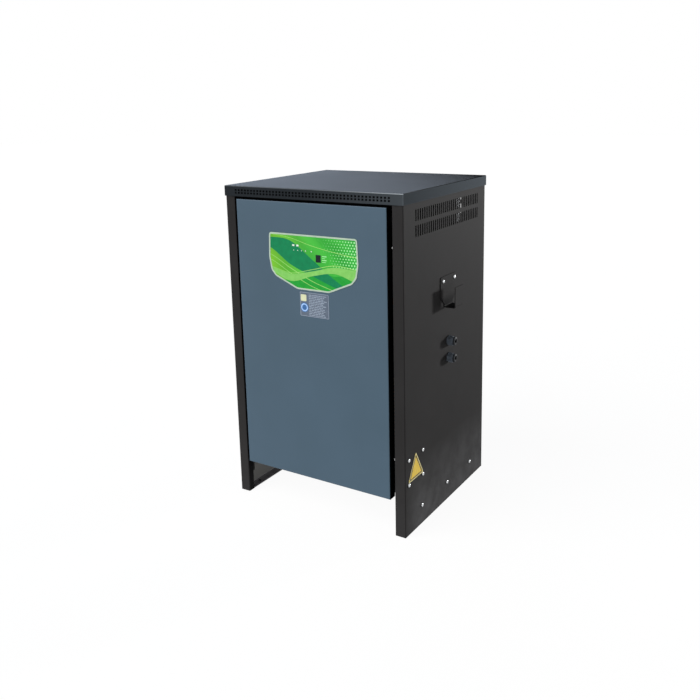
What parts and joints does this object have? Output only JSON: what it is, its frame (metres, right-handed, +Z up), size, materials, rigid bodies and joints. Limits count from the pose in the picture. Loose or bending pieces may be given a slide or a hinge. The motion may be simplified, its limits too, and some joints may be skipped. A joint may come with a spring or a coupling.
{
  "type": "battery charger",
  "caption": "Floor-standing traction battery charger cabinet in folded sheet, with louvred sides, control overlay, cable hook, two cable glands and its power parts inside.",
  "frame": {"origin": "on the floor, at the centre of the whole footprint, the cover's lips, the front panel and the cable hook included; the cabinet's own middle plane lies 16 mm to the left of it", "axes": "+X to the right side panel, which carries the hook and the glands, +Y to the rear, +Z up"},
  "size_m": [0.5891, 0.5077, 0.9],
  "materials": {
    "black_powder_coat": "fine-textured satin powder coat",
    "cover_powder_coat": "fine-textured satin powder coat",
    "blue_powder_coat": "smooth satin powder coat",
    "zinc_sheet": "zinc plated, dull",
    "zinc_screw": "bright zinc plated",
    "overlay_foil": "printed polyester foil",
    "window_plastic": "gloss tinted window",
    "lamp_plastic": "clear frosted",
    "board_laminate": "solder resist",
    "black_plastic": "moulded, matt",
    "green_plastic": "moulded, matt",
    "relay_plastic": "moulded, semi-gloss",
    "label_foil": "printed foil",
    "yellow_foil": "printed foil",
    "gland_plastic": "moulded polyamide",
    "seal_rubber": "matt",
    "core_steel": "varnished laminations",
    "bobbin_board": "pressed insulating board",
    "winding_wire": "enamelled, varnished",
    "sink_aluminium": "extruded, natural",
    "module_plastic": "moulded, matt",
    "busbar_copper": "rolled copper",
    "fuse_board": "moulded, matt",
    "terminal_plastic": "moulded, matt"
  },
  "bodies": {
    "root": {"side_panel_left": "black_powder_coat", "side_panel_right": "black_powder_coat", "top_cover": "cover_powder_coat", "front_panel": "blue_powder_coat", "rear_panel": "black_powder_coat", "base_tray": "black_powder_coat", "front_rail": "black_powder_coat", "component_plate": "zinc_sheet", "control_overlay": "overlay_foil", "display_window": "window_plastic", "square_lamps": "lamp_plastic", "round_lamps": "lamp_plastic", "control_board": "board_laminate", "board_spacers": "zinc_sheet", "display_module": "black_plastic", "board_connectors": "green_plastic", "board_relays": "relay_plastic", "small_label": "label_foil", "triangle_plate": "yellow_foil", "cable_hook": "black_powder_coat", "gland_body_upper": "gland_plastic", "gland_body_lower": "gland_plastic", "gland_cap_upper": "gland_plastic", "gland_cap_lower": "gland_plastic", "gland_seal_upper": "seal_rubber", "gland_seal_lower": "seal_rubber", "gland_locknut_upper": "gland_plastic", "gland_locknut_lower": "gland_plastic", "transformer_core": "core_steel", "bobbin_left": "bobbin_board", "bobbin_centre": "bobbin_board", "bobbin_right": "bobbin_board", "winding_left": "winding_wire", "winding_centre": "winding_wire", "winding_right": "winding_wire", "core_clamp_lower_front": "zinc_sheet", "core_clamp_lower_rear": "zinc_sheet", "core_clamp_upper_front": "zinc_sheet", "core_clamp_upper_rear": "zinc_sheet", "core_bolts": "zinc_screw", "hex_bolts": "zinc_screw", "heatsink": "sink_aluminium", "rectifier_module_1": "module_plastic", "rectifier_module_2": "module_plastic", "rectifier_module_3": "module_plastic", "busbar": "busbar_copper", "fuse_base": "fuse_board", "fuse_link": "zinc_screw", "contactor_bracket": "zinc_sheet", "contactor": "black_plastic", "din_rail": "zinc_sheet", "mains_fuse_1": "module_plastic", "mains_fuse_2": "module_plastic", "mains_fuse_3": "module_plastic", "terminal_block": "terminal_plastic", "plate_screws": "zinc_screw", "side_screws": "zinc_screw", "side_nuts": "zinc_screw", "panel_screws": "zinc_screw"}
  },
  "joints": []
}
